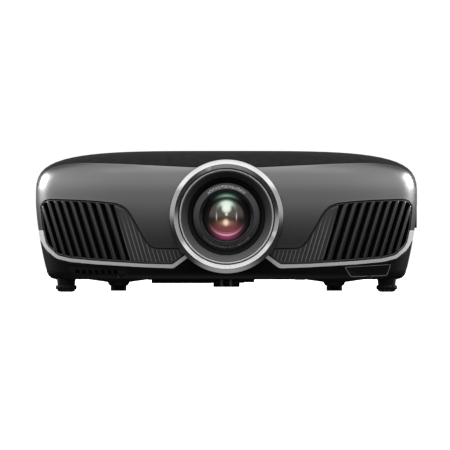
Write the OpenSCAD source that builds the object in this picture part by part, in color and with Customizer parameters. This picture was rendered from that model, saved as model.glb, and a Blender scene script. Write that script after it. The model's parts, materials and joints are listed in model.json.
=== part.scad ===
// Home-cinema projector: casing, front lens with motorised shift, zoom and focus,
// lens shutter, lamp, cooling, controls, connectors and adjustable feet.
// Millimetres. +Z is up, the lens looks along -Y, and the origin is on the table
// under the middle of the casing.

/* [Casing] */
// Width of the casing at its widest
body_w = 520; // [516:1:524]
// Depth from the front of the lens ring to the rear panel
body_d = 450; // [446:1:454]
// Height of the top above the table
body_h = 192; // [190:0.5:194]
// Height at which the casing is widest
wide_z = 124; // [122:0.5:126]
// Height of the underside above the table
under_z = 17; // [16.5:0.1:17.5]
// Wall of the plastic casing
wall = 3; // [2.6:0.1:3]
// Gap between neighbouring casing pieces
seam = 0.4; // [0.3:0.05:0.5]
// Width of the bright strip under the front grilles
trim_w = 5; // [4:0.5:6]

/* [Lens] */
// Height of the lens axis above the table
lens_z = 102.6; // [101:0.1:104]
// Outer radius of the ring round the lens
ring_r = 77; // [76:0.1:77.2]
// Radius of the dark well in front of the lens
well_r = 52.8; // [52.4:0.1:53]
// Outer radius of the lens barrel's front
barrel_r = 46.4; // [45:0.1:46.6]
// Radius of the front glass
glass_r = 33; // [31:0.1:33.1]

/* [Feet and controls] */
// Distance between the two front feet
foot_spacing = 436; // [434:1:438]
// Radius of a front foot's grip disc
foot_r = 14.6; // [13:0.1:14.8]
// Radius of the small buttons' caps
button_r = 3.6; // [3:0.1:3.8]

/* [Hidden] */

half_w = body_w / 2;
front_y = -body_d / 2;
rear_y = body_d / 2;
waist_y = -60;          // where the plan outline is widest
nose = 145;             // depth of the curved front ahead of the waist
tail = 300;             // depth of the nearly square back behind the waist
side_taper = 22.3;      // how far the sides lean in at table height
chin_taper = 20;        // how far the front leans in at table height
edge_r = 9;             // rounding of the lower edge
outline_n = 48;         // points round the plan outline
cheek_y = -50;          // rear edge of the front fascia on the sides
split_z = 121;          // joint between the upper and the lower casing
beyond = 4;             // how far cutters reach past the casing
fit = 0.05;             // radial play of a shaft in its bore

case_black = "#232426";
case_grey = "#4a4c50";
silver = "#b4b7bb";
steel = "#8e9297";
dark = "#151618";

// ---------------------------------------------------------------- casing form
// The plan outline is a superellipse: round in front, nearly square at the back.
// Above wide_z it shrinks to a domed top, below it leans in to a rounded lower edge.
function rise(z, t) = min(1, max(0, z - wide_z) / (body_h - t - wide_z));
function fall(z) = max(0, wide_z - z) / wide_z;
function dome(z, t, n) = pow(1 - pow(rise(z, t), n), 1 / n);
function edge_in(z, t) = let (up = z - under_z - t)
    up >= edge_r ? 0 : edge_r - sqrt(edge_r * edge_r - pow(edge_r - up, 2));
function half_x(z, t) = (half_w - t) * dome(z, t, 4) - side_taper * pow(fall(z), 1.6) - edge_in(z, t);
function nose_d(z, t) = (nose - t) * dome(z, t, 4) - chin_taper * pow(fall(z), 2) - edge_in(z, t);
function tail_d(z, t) = (tail - t) * dome(z, t, 10) - edge_in(z, t);
function bulge(s, e) = sign(s) * pow(abs(s), 2 / e);
function outline_point(u, z, t) = sin(u) < 0
    ? [half_x(z, t) * bulge(cos(u), 3), waist_y + nose_d(z, t) * bulge(sin(u), 3), z]
    : [half_x(z, t) * bulge(cos(u), 10),
       min(rear_y - t - edge_in(z, t), waist_y + tail_d(z, t) * bulge(sin(u), 10)), z];
function levels(t) = concat(
    [for (k = [0:30:90]) under_z + t + edge_r * (1 - cos(k))],
    [45, 70, 95, wide_z],
    [for (p = [20, 40, 56, 68, 77, 84, 88]) wide_z + (body_h - t - wide_z) * sqrt(sin(p))]);
// How far forward the casing's face is at a place on the front
function face_y(x, z) =
    waist_y - nose_d(z, 0) * pow(1 - pow(min(1, abs(x) / half_x(z, 0)), 3), 1 / 3);

module body_form(t) {
    heights = levels(t);
    last = len(heights) - 1;
    points = [for (z = heights, i = [0:outline_n - 1]) outline_point(i * 360 / outline_n, z, t)];
    sides = [for (k = [0:last - 1], i = [0:outline_n - 1]) let (j = (i + 1) % outline_n)
        [k * outline_n + i, (k + 1) * outline_n + i, (k + 1) * outline_n + j, k * outline_n + j]];
    base = [for (i = [0:outline_n - 1]) i];
    top = [for (i = [outline_n - 1:-1:0]) last * outline_n + i];
    polyhedron(points, concat([base, top], sides));
}
module skin(outer, inner) difference() {
    body_form(outer);
    body_form(inner);
}
// A sculpted moulding is worked out as one skin
module moulded() resize([0, 0, 0]) children();

// ---------------------------------------------------------------- front outlines
// X and Z of the right half of the front; the left half is its mirror image.
function curve(a, b, c, d, n = 6) = [for (i = [0:n]) let (t = i / n, s = 1 - t)
    s * s * s * a + 3 * s * s * t * b + 3 * s * t * t * c + t * t * t * d];
function reversed(v) = [for (i = [len(v) - 1:-1:0]) v[i]];
function flipped(v) = [for (p = v) [-p[0], p[1]]];
function both_halves(v) = concat(v, reversed(flipped(v)));
function unit(v) = v / norm(v);
// A line moved sideways, to the left of its direction
function moved(v, d) = [for (i = [0:len(v) - 1])
    let (way = unit(v[min(i + 1, len(v) - 1)] - v[max(i - 1, 0)])) v[i] + d * [-way[1], way[0]]];

brow = [[43, 169.3], [140, 174], [195, 175.7], [228, 175], [244, 170], [254, 159], [half_w + beyond, 148]];
sill = [[50, 48.5], [71.6, 31.9], [112.7, 33.4], [176.5, 37.3], [213, 40.6], [231.3, 45.2],
    [245.9, 57.1], [254.2, 71.7], [257, 84.1]];
vent_top = concat([[253, 115], [248, 126.5], [195, 124.6]],
    curve([172, 121.3], [146, 120.5], [137, 116], [127.2, 102]),
    curve([109.9, 73.3], [103, 61], [96, 59.8], [60, 59.2]));
front_outline = both_halves(concat(brow, [[half_w + beyond, 84]], reversed(sill)));
fascia_outline = both_halves(concat([for (p = brow) p - [0, seam]], [[half_w + beyond, 84 + seam]],
    reversed(moved(sill, trim_w + seam))));
insert_outline = [[216.7, 36], [211, 26], [191, 23.3], [140, 21.5], [132, 29.7]];
window_outline = [[160.8, 33.4], [169, 21], [217.5, 22.4], [223, 37.1]];
function vent_outline(d) = concat(moved(vent_top, d), moved(sill, trim_w + d));
function trim_outline() = concat(moved(sill, trim_w - seam), reversed(moved(sill, seam)));

module front_prism(points, y = cheek_y) translate([0, y, 0]) rotate([90, 0, 0])
    linear_extrude(y - front_y + beyond) polygon(points);
module left_half() mirror([1, 0, 0]) children();
// Places a turned shape on the lens axis, its own Z pointing to the rear
module on_lens(y, x = 0, dz = 0) translate([x, y, lens_z + dz]) rotate([-90, 0, 0]) children();
module ring_bore() on_lens(front_y - beyond) cylinder(h = 70, r = ring_r + seam, $fn = 96);
module block(low, high) translate(low) cube(high - low);
module bar_x(x0, x1, y, z, r) translate([x0, y, z]) rotate([0, 90, 0]) cylinder(h = x1 - x0, r = r, $fn = 32);
module post(x, y, z0, z1, r) translate([x, y, z0]) cylinder(h = z1 - z0, r = r, $fn = 32);

// ---------------------------------------------------------------- places inside
screw_places = [[222, 188], [226, -40], [100, -120], [-222, 188], [-226, -40], [-100, -120]];
foot_x = foot_spacing / 2;
foot_y = -118;
rear_foot = [149, 190];
mount_x = 100;          // half the spacing of the ceiling-mount holes
mount_y = [-80, 110];   // front and rear rows of the ceiling-mount holes
insert_r = 5;
m4_r = 2;
stud_r = 4;
door_y = [-42, 62];
door_z = [84, 118];
door_x = half_w - 8.3;  // outer face of the control door
lamp_y = [92, 178];
lamp_z = [42, 104];
filter_x = [112, 188];
filter_z = [42, 98];
inlet_at = [-150, 56];
inlet_size = [28, 20];
port_x = [-96, 92];
port_z = [34, 82];

module lamp_opening(gap) block([-half_w - 1, lamp_y[0] + gap, lamp_z[0] + gap],
    [-half_w + 24, lamp_y[1] - gap, lamp_z[1] - gap]);
module door_opening() block([half_w - 14, -40, 86], [half_w + 1, 60, 116]);

// ---------------------------------------------------------------- casing pieces
// The outer shell is cut first, so that the posts and bosses inside it stay whole
module base_case() color(case_black) moulded() difference() {
    union() {
        difference() {
            skin(0, wall);
            block([-half_w - 1, front_y, split_z - seam / 2], [half_w + 1, rear_y + 1, body_h + 1]);
            front_prism(front_outline);
            ring_bore();
            block([-200, rear_y - 8, 26], [200, rear_y + 1, 108]);
            lamp_opening(0);
            door_opening();
            left_half() front_prism(insert_outline);
            front_prism(window_outline);
        }
        // collars round the front feet, skirts over the rear feet, bosses and ribs below
        for (x = [-foot_x, foot_x]) translate([x, foot_y, 10]) cylinder(h = 30, r1 = 11.5, r2 = 13.5, $fn = 32);
        for (x = [-rear_foot[0], rear_foot[0]]) translate([x, rear_foot[1] - 30, 12])
            cylinder(h = 6, r1 = 14, r2 = 52, $fn = 40);
        for (x = [-rear_foot[0], rear_foot[0]]) translate([x, rear_foot[1], 7])
            cylinder(h = 12, r1 = 12.5, r2 = 20, $fn = 32);
        block([-18, -110, 6.5], [18, -50, 19]);
        block([-24, -120, 12], [24, -40, 19]);
        block([-102, -90, 11.5], [-20, 60, 19]);
        block([22, -90, 12.8], [38, 60, 19]);
        for (p = screw_places) post(p[0], p[1], under_z + 1, 50, 6);
        for (x = [-mount_x, mount_x], y = mount_y) post(x, y, under_z, 32, insert_r + 3);
    }
    for (x = [-foot_x, foot_x]) post(x, foot_y, 0, 41, 7.3);
    for (p = screw_places) post(p[0], p[1], 10, 43, 4.3);
    for (p = screw_places) post(p[0], p[1], 42, 51, 2.2);
    for (x = [-mount_x, mount_x], y = mount_y) post(x, y, 10, 33, insert_r + 0.3);
}

module top_case() color(case_black) moulded() difference() {
    union() {
        difference() {
            skin(0, wall);
            block([-half_w - 1, front_y, 0], [half_w + 1, rear_y + 1, split_z + seam / 2]);
            front_prism(front_outline);
            ring_bore();
        }
        intersection() {
            body_form(wall / 2);
            for (p = screw_places) post(p[0], p[1], 52, body_h, 5);
        }
    }
    for (p = screw_places) post(p[0], p[1], 51, 90, 2.3);
}

module front_fascia() color(case_grey) moulded() difference() {
    intersection() {
        skin(0, wall);
        front_prism(fascia_outline, cheek_y - seam);
    }
    front_prism(vent_outline(0));
    left_half() front_prism(vent_outline(0));
    ring_bore();
}

vane_n = 9;
vane_lean = 19;         // degrees that a vane leans from upright
module vent_grille() {
    window = [[249, 84], [247, 121], [195, 119], [153, 115], [131, 48], [213, 49], [229, 53], [241, 63]];
    moulded() {
        difference() {
            intersection() {
                skin(1.2, 2.8);
                front_prism(vent_outline(seam));
            }
            front_prism(window);
            ring_bore();
        }
        intersection() {
            skin(1.6, 13);
            front_prism(vent_outline(seam + 1));
            // vanes lean out at the top and stand closer together towards the side
            for (i = [0:vane_n - 1]) let (x = 150 + 11.6 * i - 0.16 * i * i)
                front_prism([for (p = [[0, 0], [2.2, 0], [2.2, 1], [0, 1]])
                    [x + p[0] - 4 + (p[1] - 0.5) * 88 * tan(vane_lean), 84 + (p[1] - 0.5) * 88]]);
        }
    }
}
module vent_grille_right() color(dark) vent_grille();
module vent_grille_left() color(dark) left_half() vent_grille();

module trim_strip() moulded() difference() {
    intersection() {
        skin(0, wall);
        front_prism(trim_outline(), cheek_y - seam);
    }
    ring_bore();
}
module trim_strip_right() color(silver) trim_strip();
module trim_strip_left() color(silver) left_half() trim_strip();

module front_vent_insert() color(dark) left_half() moulded() difference() {
    intersection() {
        skin(0.8, 2.8);
        front_prism([for (p = insert_outline) p * 0.99 + [1.74, 0.28]]);
    }
    for (i = [0:6]) front_prism([for (p = [[0, 0], [5, 0], [6.4, 5.6], [1.4, 5.6]]) p + [147 + i * 8.6, 24.6]]);
}

module receiver_window() color("#101014") moulded() intersection() {
    skin(0.3, 2.3);
    front_prism([for (p = window_outline) p * 0.99 + [1.93, 0.29]]);
}

// ---------------------------------------------------------------- lens surround
// Its skirt is slotted on both sides where the shutter leaves pass
module lens_ring() color(silver) difference() {
    on_lens(front_y) rotate_extrude($fn = 120)
        polygon([[65.5, 5.5], [71, 0], [76, 2.6], [ring_r, 5], [ring_r, 47], [74, 47], [74, 14], [65.5, 14]]);
    block([-ring_r - 1, leaf_y - 1, lens_z - leaf_h - 4], [ring_r + 1, leaf_y + 20, lens_z + leaf_h + 4]);
}
module ring_accent() color(silver) on_lens(front_y) rotate_extrude($fn = 120)
    polygon([[62, 7.4], [63.2, 6.2], [64.4, 7.4], [64.4, 14.2], [62, 14.2]]);
module lens_funnel() color(dark) on_lens(front_y) rotate_extrude($fn = 120)
    polygon([[60.9, 8], [61.7, 8], [61.7, 14.6], [73.6, 14.6], [73.6, 16.6], [61, 16.6],
        [55, 30], [well_r, 30], [well_r, 28.5]]);

// ---------------------------------------------------------------- lens
gear_m = 1.5;           // module of the ring gears and their pinions
ring_teeth = 60;
pinion_teeth = 12;
pinion_x = gear_m * (ring_teeth + pinion_teeth) / 2;
focus_y = -130;
zoom_y = -112;
gear_w = 13;
function polar(r, a) = r * [cos(a), sin(a)];
// Straight-flanked teeth with a little play
module gear_outline(teeth) {
    pitch_r = gear_m * teeth / 2;
    step = 360 / teeth;
    polygon([for (i = [0:teeth - 1]) each [
        polar(pitch_r - 1.2 * gear_m, (i - 0.33) * step), polar(pitch_r + 0.75 * gear_m, (i - 0.11) * step),
        polar(pitch_r + 0.75 * gear_m, (i + 0.11) * step), polar(pitch_r - 1.2 * gear_m, (i + 0.33) * step)]]);
}
module ring_gear(y) on_lens(y) difference() {
    linear_extrude(gear_w) gear_outline(ring_teeth);
    translate([0, 0, -1]) cylinder(h = gear_w + 2, r = 38.5, $fn = 96);
}
module pinion(x, y) on_lens(y, x) {
    rotate(180 / pinion_teeth) linear_extrude(gear_w) gear_outline(pinion_teeth);
}
module focus_ring() color(dark) ring_gear(focus_y);
module zoom_ring() color(dark) ring_gear(zoom_y + 0.4);
module focus_pinion() color("white") {
    pinion(pinion_x, focus_y);
    on_lens(focus_y + gear_w, pinion_x) cylinder(h = 3, r = 2, $fn = 32);
}
module zoom_pinion() color("white") {
    pinion(-pinion_x, zoom_y + 0.4);
    on_lens(zoom_y - 2.6, -pinion_x) cylinder(h = 3, r = 2, $fn = 32);
}
// Small geared motors on arms of the sideways frame
module lens_motors() color(steel) {
    on_lens(focus_y + gear_w + 3.4, pinion_x) cylinder(h = 20, r = 6.5, $fn = 40);
    block([pinion_x - 3, focus_y + gear_w + 23.4, lens_z - 6], [pinion_x + 8, -86, lens_z + 6]);
    on_lens(zoom_y - 23, -pinion_x) cylinder(h = 20, r = 6.5, $fn = 40);
    block([-pinion_x - 17, zoom_y - 23, lens_z - 5], [-pinion_x - 11, -86, lens_z + 5]);
    block([-pinion_x - 17, zoom_y - 23, lens_z - 5], [-pinion_x - 4, zoom_y - 17, lens_z + 5]);
    block([-pinion_x - 17, -89, lens_z - 5], [-pinion_x - 1, -86, lens_z + 5]);
}

barrel_front = 38.6;    // how far the barrel's face lies behind the ring's front
module lens_barrel() color(dark) on_lens(front_y + barrel_front) rotate_extrude($fn = 120)
    polygon([[36, 0.6], [37, 0], [barrel_r - 0.6, 0], [barrel_r, 0.6], [barrel_r, 45.8], [38, 50.8], [38, 94],
        [50, 94], [50, 100.2], [28, 100.2], [28, 123.8], [25, 123.8], [25, 95.8], [35, 91.8], [35, 52.8],
        [42, 43.8], [42, 19], [glass_r + 0.3, 19], [glass_r + 0.3, 8]]);
module lens_elements() color("#7fa8b8", 0.5) {
    // domed front glass and small rear glass
    on_lens(front_y + barrel_front + 2) intersection() {
        translate([0, 0, 60]) sphere(r = 60, $fn = 96);
        cylinder(h = 14, r = glass_r, $fn = 96);
    }
    on_lens(-70) intersection() {
        translate([0, 0, -32]) sphere(r = 40, $fn = 96);
        cylinder(h = 9, r = 24.8, $fn = 96);
    }
}

// The sideways frame slides on a rod and a lead screw held by the upright frame,
// which itself slides on a rod and a lead screw held by the optical engine.
rod_r = 3;
pan_rod_z = 60;         // distance of the sideways rods from the lens axis
lift_rod_x = 76;        // distance of the upright rods from the lens axis
pan_y = -83;
lift_y = -75;
module shift_frame_horizontal() color(steel) difference() {
    union() {
        block([-62, -86, lens_z - 54], [62, -80, lens_z + 54]);
        for (s = [-1, 1]) block([-20, -87.5, lens_z + s * pan_rod_z - 6.2], [20, -79.5, lens_z + s * pan_rod_z + 6.2]);
    }
    on_lens(-95) cylinder(h = 20, r = 28.5, $fn = 96);
    for (s = [-1, 1]) bar_x(-30, 30, pan_y, lens_z + s * pan_rod_z, rod_r + fit);
}
module shift_frame_vertical() color(steel) {
    difference() {
        union() {
            block([-68, -78, lens_z - 66], [68, -72, lens_z + 66]);
            for (sx = [-1, 1], sz = [-1, 1])
                block([sx * 66 - 3, -87, lens_z + sz * pan_rod_z - 5], [sx * 66 + 3, -77, lens_z + sz * pan_rod_z + 5]);
            for (s = [-1, 1]) block([s * 73 - 8, -80, lens_z - 12], [s * 73 + 8, -70.5, lens_z + 12]);
        }
        on_lens(-95) cylinder(h = 40, r = 38, $fn = 96);
        for (s = [-1, 1]) post(s * lift_rod_x, lift_y, lens_z - 20, lens_z + 20, rod_r + fit);
        bar_x(-75, 75, pan_y, lens_z + pan_rod_z, rod_r + fit);
    }
    bar_x(-68, 68, pan_y, lens_z - pan_rod_z, rod_r);
}
module pan_screw() color(steel) {
    bar_x(-68.5, 68.5, pan_y, lens_z + pan_rod_z, rod_r);
    bar_x(50, 58, pan_y, lens_z + pan_rod_z, 4.8);
}
module lift_screw() color(steel) {
    post(lift_rod_x, lift_y, 34, 168, rod_r);
    post(lift_rod_x, lift_y, 28, 34, 5);
}

module optical_engine() color("#3a3d40") {
    difference() {
        union() {
            block([-88, -69.5, 22], [88, -62, 172]);
            for (z = [36, 164]) block([-84, -80, z], [-69.6, -68, z + 5]);
            for (z = [36, 164]) block([69.6, -80, z], [84, -68, z + 5]);
            block([-70, -63, 56], [70, 86, 148]);
            block([-140, 85, 56], [20, 160, 108]);
        }
        on_lens(-75) cylinder(h = 20, r = 43, $fn = 96);
        block([-66, -61, 60], [66, 82, 144]);
        block([-143, 90, 60], [16, 156, 104]);
        block([-60, 80, 62], [10, 92, 102]);
        post(lift_rod_x, lift_y, 30, 170, rod_r + fit);
    }
    post(-lift_rod_x, lift_y, 40, 165, rod_r);
    // lamp-side support legs down to the floor of the casing
    for (x = [-60, 60], y = [-20, 70]) post(x, y, 20.5, 56, 5);
}
// Colour-joining glass cube with a panel on three of its sides
module prism_block() {
    color("#9fc3cf") block([-22, -46, lens_z - 22], [22, -2, lens_z + 22]);
    color(dark) for (x = [-26, 24]) block([x, -44, lens_z - 20], [x + 2, -4, lens_z + 20]);
    color(dark) block([-20, 0, lens_z - 20], [20, 2, lens_z + 20]);
    color(steel) block([-30, -50, 60.2], [30, 6, lens_z - 22]);
}

// ---------------------------------------------------------------- lens shutter
leaf_w = 53.2;
leaf_h = 53.3;          // half the height of a leaf
leaf_y = -189.4;
module shutter_leaf() {
    block([leaf_w + 0.4, leaf_y, lens_z - leaf_h], [2 * leaf_w + 0.4, leaf_y + 1.6, lens_z + leaf_h]);
    block([leaf_w + 2, leaf_y + 0.5, lens_z - 30], [leaf_w + 4, leaf_y + 2.2, lens_z + 30]);
}
module shutter_right() color(dark) shutter_leaf();
module shutter_left() color(dark) left_half() shutter_leaf();
module shutter_rails() color(steel) for (s = [-1, 1]) difference() {
    block([-108, leaf_y - 0.6, lens_z + s * (leaf_h + 1.4) - 1.9], [108, leaf_y + 2.4, lens_z + s * (leaf_h + 1.4) + 1.9]);
    block([-109, leaf_y - 0.3, lens_z - leaf_h - 0.3], [109, leaf_y + 1.9, lens_z + leaf_h + 0.3]);
    on_lens(leaf_y - 5) cylinder(h = 20, r = well_r, $fn = 96);
}

// ---------------------------------------------------------------- lamp
module lamp_cover() color(case_black) moulded() difference() {
    intersection() {
        skin(0, wall);
        lamp_opening(0.6);
    }
    bar_x(-half_w - 1, -half_w + 20, lamp_y[0] + 10, 60, 3.8);
}
module lamp_cover_screw() color(steel) difference() {
    bar_x(-half_w + 8.6, -half_w + 19, lamp_y[0] + 10, 60, 3.4);
    block([-half_w + 8, lamp_y[0] + 6, 59.5], [-half_w + 9.8, lamp_y[0] + 14, 60.5]);
}
module lamp_unit() {
    color("#55585c") difference() {
        block([-236, 102, 50], [-152, 168, 98]);
        block([-232, 105, 53], [-145, 165, 95]);
    }
    color("silver") translate([-185, 135, 74]) rotate([0, 90, 0]) difference() {
        cylinder(h = 32, r1 = 8, r2 = 20, $fn = 48);
        translate([0, 0, 2]) cylinder(h = 31, r1 = 6, r2 = 19, $fn = 48);
    }
    color("white") bar_x(-182.5, -160, 135, 74, 2.4);
    color("gray") block([-222, 112, 58], [-190, 158, 90]);
    color(dark) block([-242, 128, 62], [-236, 142, 86]);
}

// ---------------------------------------------------------------- controls
panel_x = half_w - 17.6;
module control_door() color(case_black) {
    block([door_x - 1.8, door_y[0], door_z[0]], [door_x, door_y[1], door_z[1]]);
    block([door_x - 0.5, door_y[0] + 5, 87], [half_w, door_y[0] + 13, 115]);
}
module button_at(y, z, x0, x1, r) bar_x(panel_x + x0, panel_x + x1, y, z, r);
module control_panel() color(dark) {
    difference() {
        block([panel_x, -44, 80], [panel_x + 1.8, 64, 121.5]);
        for (b = buttons) button_at(b[0], b[1], -1, 3, b[2] + 0.3);
    }
    // grooves that the door runs in
    for (z = [[81.2, 83.6], [118.4, 120.8]]) block([panel_x + 1.8, -44, z[0]], [door_x - 0.3, 150, z[1]]);
}
// Y, Z and cap radius of each button
power_at = [-20, 109, button_r];
source_at = [-20, 93, button_r];
menu_at = [40, 109, button_r];
escape_at = [40, 93, button_r];
enter_at = [10, 101, button_r + 0.9];
up_at = [10, 111.4, button_r];
down_at = [10, 90.6, button_r];
left_at = [-0.4, 101, button_r];
right_at = [20.4, 101, button_r];
buttons = [power_at, source_at, menu_at, escape_at, enter_at, up_at, down_at, left_at, right_at];
module button(b) color("#3c3e42") {
    button_at(b[0], b[1], -0.3, 4.6, b[2]);
    button_at(b[0], b[1], -2, -0.3, b[2] + 0.7);
}

// ---------------------------------------------------------------- rear
module rear_panel() color(case_black) difference() {
    block([-199.5, rear_y - 3, 26.5], [199.5, rear_y, 107.5]);
    block([port_x[0], rear_y - 9, port_z[0]], [port_x[1], rear_y + 1, port_z[1]]);
    block([filter_x[0] - 0.6, rear_y - 9, filter_z[0] - 1], [filter_x[1] + 0.6, rear_y + 1, filter_z[1] + 0.6]);
    block([inlet_at[0] - 14.3, rear_y - 9, inlet_at[1] - 10.3], [inlet_at[0] + 14.3, rear_y + 1, inlet_at[1] + 10.3]);
    for (i = [0:19]) block([-190 + i * 6.6, rear_y - 9, 88], [-186.6 + i * 6.6, rear_y + 1, 101]);
}
plate_y = rear_y - 13;
module socket(x, z, w, h, rim = 1) difference() {
    block([x - w / 2 - rim, plate_y - 10, z - h / 2 - rim], [x + w / 2 + rim, plate_y + 3, z + h / 2 + rim]);
    block([x - w / 2, plate_y - 9, z - h / 2], [x + w / 2, plate_y + 4, z + h / 2]);
}
module tongue(x, z, w, h) block([x - w / 2, plate_y - 9.5, z - h / 2], [x + w / 2, plate_y + 1.5, z + h / 2]);
module socket_hole(x, z, w, h) block([x - w / 2 - 0.5, plate_y - 1, z - h / 2 - 0.5],
    [x + w / 2 + 0.5, plate_y + 2, z + h / 2 + 0.5]);
hdmi_at = [[-80, 66], [-56, 66]];
usb_at = [[-30, 66], [-30, 48]];
lan_at = [0, 64];
vga_at = [-68, 46];
serial_at = [34, 64];
trigger_at = [72, 64];
trigger_r = 1.8;
module connector_panel() color(steel) {
    difference() {
        block([port_x[0] - 8, plate_y, 28], [port_x[1] + 8, plate_y + 1.4, 88]);
        for (p = hdmi_at) socket_hole(p[0], p[1], 14.4, 5.4);
        for (p = usb_at) socket_hole(p[0], p[1], 12.6, 6);
        socket_hole(lan_at[0], lan_at[1], 12, 9);
        socket_hole(vga_at[0], vga_at[1], 17, 8.4);
        socket_hole(serial_at[0], serial_at[1], 17, 8.4);
        on_plate(trigger_at) cylinder(h = 30, r = 4, center = true, $fn = 32);
    }
    for (p = hdmi_at) socket(p[0], p[1], 14.4, 5.4);
    for (p = hdmi_at) tongue(p[0], p[1], 11, 1);
    for (p = usb_at) socket(p[0], p[1], 12.6, 6);
    for (p = usb_at) tongue(p[0], p[1] + 1, 11, 1.6);
    socket(lan_at[0], lan_at[1], 12, 9);
    for (p = [vga_at, serial_at]) socket(p[0], p[1], 17, 8.4);
    for (p = [vga_at, serial_at], i = [0:4]) on_plate(p + [-5.6 + 2.8 * i, 1.6]) cylinder(h = 9, r = 0.6, center = true, $fn = 16);
    for (p = [vga_at, serial_at], i = [0:3]) on_plate(p + [-4.2 + 2.8 * i, -1.6]) cylinder(h = 9, r = 0.6, center = true, $fn = 16);
    on_plate(trigger_at) difference() {
        cylinder(h = 18, r = 4.4, center = true, $fn = 32);
        translate([0, 0, -5]) cylinder(h = 16, r = trigger_r, $fn = 32);
    }
}
module on_plate(p) translate([p[0], plate_y - 5, p[1]]) rotate([-90, 0, 0]) children();

module power_inlet() color(dark) {
    at = [inlet_at[0], rear_y - 24, inlet_at[1]];
    difference() {
        translate(at) block([-14, 0, -10], [14, 24, 10]);
        translate(at) block([-12.2, 7, -7.9], [12.2, 25, 7.9]);
    }
    for (p = [[-7, -1], [0, 3], [7, -1]]) translate(at + [p[0], 6, p[1]]) block([-1, 0, -2], [1, 13, 2]);
}

module filter_cover() color(case_black) difference() {
    union() {
        block([filter_x[0], rear_y - 3.4, filter_z[0] + 2], [filter_x[1], rear_y, filter_z[1]]);
        bar_x(filter_x[0], filter_x[1], rear_y - 1.7, filter_z[0] + 2, 1.7);
    }
    for (i = [0:6]) block([filter_x[0] + 8, rear_y - 5, 51 + i * 6], [filter_x[1] - 8, rear_y + 1, 54.4 + i * 6]);
}
module filter_element() {
    color("#9aa0a0") difference() {
        block([filter_x[0] + 4, rear_y - 18, 47], [filter_x[1] - 4, rear_y - 3.6, 93]);
        block([filter_x[0] + 8, rear_y - 20, 51], [filter_x[1] - 8, rear_y - 1, 89]);
    }
    color("white") block([filter_x[0] + 8.1, rear_y - 15, 51.1], [filter_x[1] - 8.1, rear_y - 6, 88.9]);
}

// ---------------------------------------------------------------- fans
// A box fan that blows along Y, centred on the origin
module fan_frame(size, depth) {
    hub_r = size * 0.2;
    difference() {
        block([-size / 2, 0, -size / 2], [size / 2, depth, size / 2]);
        rotate([-90, 0, 0]) translate([0, 0, -1]) cylinder(h = depth + 2, r = size / 2 - 2, $fn = 96);
    }
    rotate([-90, 0, 0]) cylinder(h = 4, r = hub_r, $fn = 48);
    for (a = [45:90:315]) rotate([0, a, 0]) block([hub_r - 1, 0, -1.5], [size / 2 - 1, 3, 1.5]);
}
module fan_rotor(size, depth, blades) {
    hub_r = size * 0.2;
    translate([0, 4.6, 0]) rotate([-90, 0, 0]) cylinder(h = depth - 6, r = hub_r, $fn = 48);
    intersection() {
        for (i = [0:blades - 1]) rotate([0, i * 360 / blades, 0]) translate([0, depth / 2 + 1.2, 0])
            rotate([38, 0, 0]) rotate([90, 0, 90]) translate([-(depth - 9) / 2, -0.8, hub_r - 2])
            cube([depth - 9, 1.6, size / 2]);
        rotate([-90, 0, 0]) translate([0, 0, 4.6]) cylinder(h = depth - 6, r = size / 2 - 3.4, $fn = 96);
    }
}
exhaust_at = [-170, -130, 84];
exhaust_size = [80, 25];
intake_at = [150, 178, 70];
intake_size = [60, 25];
module exhaust_fan_frame() color(dark) translate(exhaust_at) fan_frame(exhaust_size[0], exhaust_size[1]);
module exhaust_fan_rotor() color(dark) translate(exhaust_at) fan_rotor(exhaust_size[0], exhaust_size[1], 7);
module intake_fan_frame() color(dark) translate(intake_at) fan_frame(intake_size[0], intake_size[1]);
module intake_fan_rotor() color(dark) translate(intake_at) fan_rotor(intake_size[0], intake_size[1], 7);

// ---------------------------------------------------------------- boards
module main_board() {
    color("#1f5a3a") block([-150, 95, 126], [95, 205, 127.6]);
    color(dark) for (i = [0:2]) block([-120 + i * 60, 130, 127.6], [-90 + i * 60, 160, 131]);
    color("#b9bcc0") block([-115, 165, 127.6], [60, 195, 136]);
    color("#2b3a66") for (i = [0:4]) post(-130 + i * 12, 110, 127.6, 139, 4);
    color(steel) post(-140, 100, 108.2, 126, 3);
    color(steel) for (p = [[85, 100], [-140, 190], [85, 190]]) post(p[0], p[1], 20.4, 126, 3);
}
module power_board() {
    color("#7a5a2a") block([112, -88, 26], [220, 72, 27.6]);
    color("#d8b23a") block([130, -70, 27.6], [170, -30, 62]);
    color(steel) block([180, -75, 27.6], [186, 50, 70]);
    color("#2b3a66") for (i = [0:3]) post(140 + (i % 2) * 24, -5 + floor(i / 2) * 26, 27.6, 60, 9);
    color(dark) block([195, -40, 27.6], [215, 20, 55]);
    for (p = [[118, -82], [118, 66], [214, -82], [214, 66]]) color(steel) post(p[0], p[1], 20.4, 26, 3);
}

// ---------------------------------------------------------------- feet and fasteners
module foot_screw() {
    difference() {
        post(foot_x, foot_y, 2.8, 9.4, foot_r);
        for (i = [0:11]) rotate_about(foot_x, foot_y, i * 30) post(foot_x + foot_r + 1.2, foot_y, 2, 10, 2.4);
    }
    post(foot_x, foot_y, 9, 38, stud_r);
}
module rotate_about(x, y, a) translate([x, y, 0]) rotate(a) translate([-x, -y, 0]) children();
module foot_pad() translate([foot_x, foot_y, 0]) rotate_extrude($fn = 48)
    polygon([[0, 0], [9, 0], [11.4, 1], [12.2, 2.5], [0, 2.5]]);
module foot_screw_right() color(dark) foot_screw();
module foot_screw_left() color(dark) left_half() foot_screw();
module foot_pad_right() color("black") foot_pad();
module foot_pad_left() color("black") left_half() foot_pad();
module rear_feet() color("black") for (x = [-rear_foot[0], rear_foot[0]]) post(x, rear_foot[1], 0, 6.9, 11);

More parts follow.
